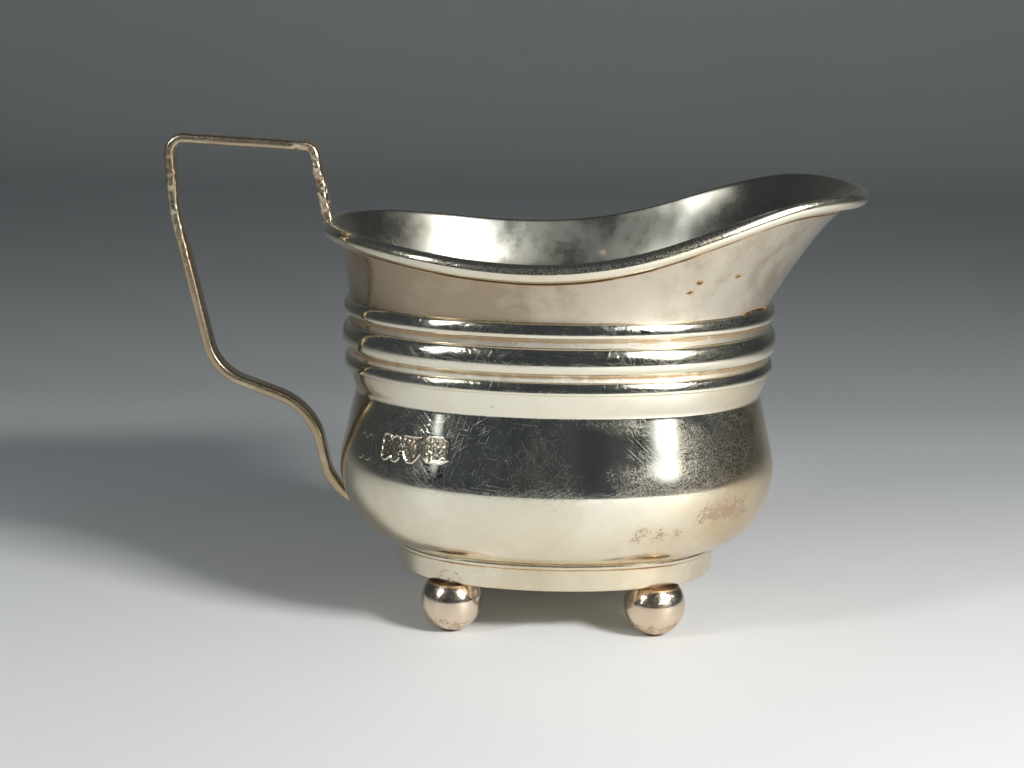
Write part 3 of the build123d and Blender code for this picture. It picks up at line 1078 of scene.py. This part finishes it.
CLEAN = (0.93, 0.88, 0.73, 1.0)
WARM = (0.66, 0.53, 0.35, 1.0)
BROWN = (0.60, 0.40, 0.21, 1.0)
NECK_CLEAN = (0.84, 0.78, 0.66, 1.0)
NECK_WARM = (0.40, 0.32, 0.225, 1.0)
FOOT_CLEAN = (0.84, 0.75, 0.61, 1.0)
FOOT_WARM = (0.70, 0.53, 0.39, 1.0)
HANDLE_CLEAN = (0.76, 0.68, 0.52, 1.0)
HANDLE_WARM = (0.48, 0.38, 0.25, 1.0)
HANDLE_BROWN = (0.20, 0.13, 0.07, 1.0)
body_silver = silver(
    "body_silver", CLEAN, WARM, BROWN, cloud=0.25, roughness=0.05, haze=0.22, scratch=0.8, dent=0.22
)
neck_silver = silver(
    "neck_silver", NECK_CLEAN, NECK_WARM, BROWN,
    cloud=0.45, roughness=0.07, haze=0.25, scratch=0.6, dent=0.3,
)
girdle_silver = silver(
    "girdle_silver", CLEAN, WARM, BROWN, cloud=0.2, roughness=0.045, haze=0.15, scratch=0.8, dent=0.15
)
rim_silver = silver(
    "rim_silver", CLEAN, WARM, BROWN, cloud=0.25, roughness=0.06, haze=0.25, scratch=1.0, dent=0.2
)
base_silver = silver(
    "base_silver", CLEAN, WARM, BROWN, cloud=0.3, roughness=0.10, haze=0.3, scratch=0.8, dent=0.3
)
foot_silver = silver(
    "foot_silver", FOOT_CLEAN, FOOT_WARM, BROWN,
    cloud=0.3, roughness=0.05, haze=0.15, scratch=0.9, dent=0.3,
)
handle_silver = silver(
    "handle_silver", HANDLE_CLEAN, HANDLE_WARM, HANDLE_BROWN,
    cloud=0.5, roughness=0.12, haze=0.3, scratch=0.8, dent=0.5,
)

dress = {
    "bowl": (body_silver, "polished_silver"),
    "neck": (neck_silver, "polished_silver"),
    "lower_reed_wire": (girdle_silver, "girdle_silver"),
    "middle_band_wire": (girdle_silver, "girdle_silver"),
    "upper_reed_wire": (girdle_silver, "girdle_silver"),
    "rim_bead": (rim_silver, "rim_silver"),
    "base_ring": (base_silver, "base_silver"),
    "ball_front_left": (foot_silver, "foot_silver"),
    "ball_front_right": (foot_silver, "foot_silver"),
    "ball_back_left": (foot_silver, "foot_silver"),
    "ball_back_right": (foot_silver, "foot_silver"),
    "strap": (handle_silver, "handle_silver"),
}
for name, (material, slot) in dress.items():
    piece = bpy.data.objects[name]
    piece.data.materials.clear()
    piece.data.materials.append(material)
    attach(piece, "root")
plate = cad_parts["base_plate"]
plate.data.materials.clear()
plate.data.materials.append(base_silver)

# ---------------------------------------------------------------- floor, backdrop and light


# Painted light on the paper: where its tone starts and stops changing, in metres behind the jug, standing
# in for the lamps' light falling off.
NEAR_FADE = (0.03, 0.22)
FAR_FADE = (0.45, 1.08)
PAPER_FLECK = (0.3, 0.3, 0.3, 1.0)


def paper_material(name, front, middle, back):
    """Paper with painted light: pale where the lamps' pool of light falls round the object, grey behind
    it where the light falls off, lighter again on the far wall, with a faint unevenness.
    """
    g = Graph(name)
    place_at = g.node("ShaderNodeTexCoord").outputs["Object"]
    parts = g.node("ShaderNodeSeparateXYZ")
    g.link(place_at, parts.inputs[0])
    shade = g.mix(g.range(parts.outputs[1], *NEAR_FADE), front, middle)
    shade = g.mix(g.range(parts.outputs[1], *FAR_FADE), shade, back)
    uneven = g.range(g.noise(place_at, 6.0, 3.0), 0.3, 0.7, 0.0, 0.06)
    g.link(g.mix(uneven, shade, PAPER_FLECK), g.shader.inputs["Base Color"])
    g.shader.inputs["Roughness"].default_value = 0.6
    return g.material


def stage_mesh(name, points, faces, material):
    mesh = bpy.data.meshes.new(name)
    mesh.from_pydata(points, [], faces)
    made = bpy.data.objects.new(name, mesh)
    bpy.context.scene.collection.objects.link(made)
    mesh.materials.append(material)
    for polygon in mesh.polygons:
        polygon.use_smooth = True


FLOOR_FRONT = -0.38
FLOOR_BACK = 0.75
SWEEP_RADIUS = 0.35
SWEEP_STEPS = 12
STAGE_HALF = 1.4
WALL_TOP = 1.3
table_rows = [(FLOOR_FRONT, 0.0), (FLOOR_BACK, 0.0)]
for step in range(1, SWEEP_STEPS + 1):
    turn = math.pi / 2 * step / SWEEP_STEPS
    table_rows.append((FLOOR_BACK + SWEEP_RADIUS * math.sin(turn), SWEEP_RADIUS * (1 - math.cos(turn))))
table_rows.append((FLOOR_BACK + SWEEP_RADIUS, WALL_TOP))
points = []
for y, z in table_rows:
    points += [(-STAGE_HALF, y, z), (STAGE_HALF, y, z)]
faces = [(2 * i, 2 * i + 1, 2 * i + 3, 2 * i + 2) for i in range(len(table_rows) - 1)]
# Tones of the painted light falloff: the lit front, the darker middle and the far wall, lightened because
# the lamps barely reach it.
PALE = (0.73, 0.74, 0.745, 1.0)
MID_GREY = (0.50, 0.515, 0.515, 1.0)
WALL_GREY = (0.62, 0.64, 0.63, 1.0)
paper = paper_material("paper_painted_falloff", PALE, MID_GREY, WALL_GREY)
stage_mesh("paper_sweep", points, faces, paper)


TARGET_HEIGHT = 0.045
LAMP_DISTANCE = 0.48
PANEL_DISTANCE = 0.5
COOL = (0.84, 0.93, 1.0, 1.0)
SLIGHTLY_WARM = (1.0, 0.98, 0.95)


def aimed(piece, azimuth, elevation, distance):
    """Place a light facing the jug. Azimuth 0 is in front of it (-Y) and grows towards +X, in degrees."""
    bpy.context.scene.collection.objects.link(piece)
    a, e = math.radians(azimuth), math.radians(elevation)
    target = Vector((AXIS_X * MM, 0.0, TARGET_HEIGHT))
    out = Vector((math.sin(a) * math.cos(e), -math.cos(a) * math.cos(e), math.sin(e)))
    piece.location = target + out * distance
    piece.rotation_mode = "QUATERNION"
    piece.rotation_quaternion = (-out).to_track_quat("-Z", "Y")


def lamp(name, azimuth, elevation, width, height, power):
    data = bpy.data.lights.new(name, "AREA")
    data.shape = "RECTANGLE"
    data.size = width
    data.size_y = height
    data.energy = power
    data.color = SLIGHTLY_WARM
    aimed(bpy.data.objects.new(name, data), azimuth, elevation, LAMP_DISTANCE)


def glowing_panel(name, azimuth, elevation, width, height, brightness):
    """Soft cloth panel, brightest in its middle and fading to nothing at its edges."""
    g = Graph(name)
    g.tree.nodes.remove(g.shader)
    parts = g.node("ShaderNodeSeparateXYZ")
    g.link(g.node("ShaderNodeTexCoord").outputs["Object"], parts.inputs[0])
    half_width, half_height = width / 2, height / 2
    across = g.math("POWER", g.math("ABSOLUTE", g.math("DIVIDE", parts.outputs[0], half_width)), 2.0)
    along = g.math("POWER", g.math("ABSOLUTE", g.math("DIVIDE", parts.outputs[1], half_height)), 2.0)
    fade = g.range(g.math("ADD", across, along), 1.0, 0.0)
    glow = g.node("ShaderNodeEmission")
    glow.inputs["Color"].default_value = COOL
    g.link(g.math("MULTIPLY", fade, brightness), glow.inputs["Strength"])
    g.link(glow.outputs[0], g.tree.nodes["Material Output"].inputs["Surface"])
    mesh = bpy.data.meshes.new(name)
    corners = [(x * half_width, y * half_height, 0) for x, y in ((-1, -1), (1, -1), (1, 1), (-1, 1))]
    mesh.from_pydata(corners, [], [(0, 3, 2, 1)])
    mesh.materials.append(g.material)
    panel = bpy.data.objects.new(name, mesh)
    panel.visible_camera = False
    aimed(panel, azimuth, elevation, PANEL_DISTANCE)


# Name, azimuth and elevation in degrees, width and height in metres, brightness or power in watts.
glowing_panel("left_panel", -49, 29, 0.13, 0.44, 3.0)
glowing_panel("right_panel", 45, 30, 0.27, 0.50, 4.2)
lamp("left_lamp", -49, 28, 0.07, 0.04, 0.55)
lamp("right_lamp", 47, 27, 0.13, 0.045, 2.7)

ROOM_DARK = (0.015, 0.02, 0.026, 1.0)
ROOM_LIGHT = (0.15, 0.18, 0.21, 1.0)
ROOM_STRENGTH = 0.45
world = bpy.data.worlds.new("dim_room")
bpy.context.scene.world = world
world.use_nodes = True
room = world.node_tree
background = room.nodes["Background"]
room_noise = room.nodes.new("ShaderNodeTexNoise")
room_noise.inputs["Scale"].default_value = 5.0
room_noise.inputs["Detail"].default_value = 4.0
room_mix = room.nodes.new("ShaderNodeMix")
room_mix.data_type = "RGBA"
room_mix.inputs["A"].default_value = ROOM_DARK
room_mix.inputs["B"].default_value = ROOM_LIGHT
room.links.new(room.nodes.new("ShaderNodeTexCoord").outputs["Generated"], room_noise.inputs["Vector"])
room.links.new(room_noise.outputs["Fac"], room_mix.inputs["Factor"])
room.links.new(room_mix.outputs["Result"], background.inputs["Color"])
background.inputs["Strength"].default_value = ROOM_STRENGTH

# ---------------------------------------------------------------- camera

CAMERA_AT = Vector(((AXIS_X + 2.86) * MM, -0.39999, 0.1167))
HEADING = math.radians(-1.58)
PITCH = math.radians(10.67)
ROLL = math.radians(0.90)
LENS = 80.0
SENSOR_WIDTH = 36.0
camera_data = bpy.data.cameras.new("camera")
camera_data.lens = LENS
camera_data.sensor_width = SENSOR_WIDTH
camera_data.clip_start = 0.01
camera_data.clip_end = 20.0
camera = bpy.data.objects.new("camera", camera_data)
bpy.context.scene.collection.objects.link(camera)
ahead, down = math.cos(PITCH), math.sin(PITCH)
forward = Vector((math.sin(HEADING) * ahead, math.cos(HEADING) * ahead, -down))
level_right = forward.cross(Vector((0, 0, 1))).normalized()
level_up = level_right.cross(forward)
right = level_right * math.cos(ROLL) + level_up * math.sin(ROLL)
up = level_up * math.cos(ROLL) - level_right * math.sin(ROLL)
facing = Matrix((right, up, -forward)).transposed().to_4x4()
camera.matrix_world = Matrix.Translation(CAMERA_AT) @ facing
bpy.context.scene.camera = camera
bpy.context.scene.view_settings.view_transform = "Standard"
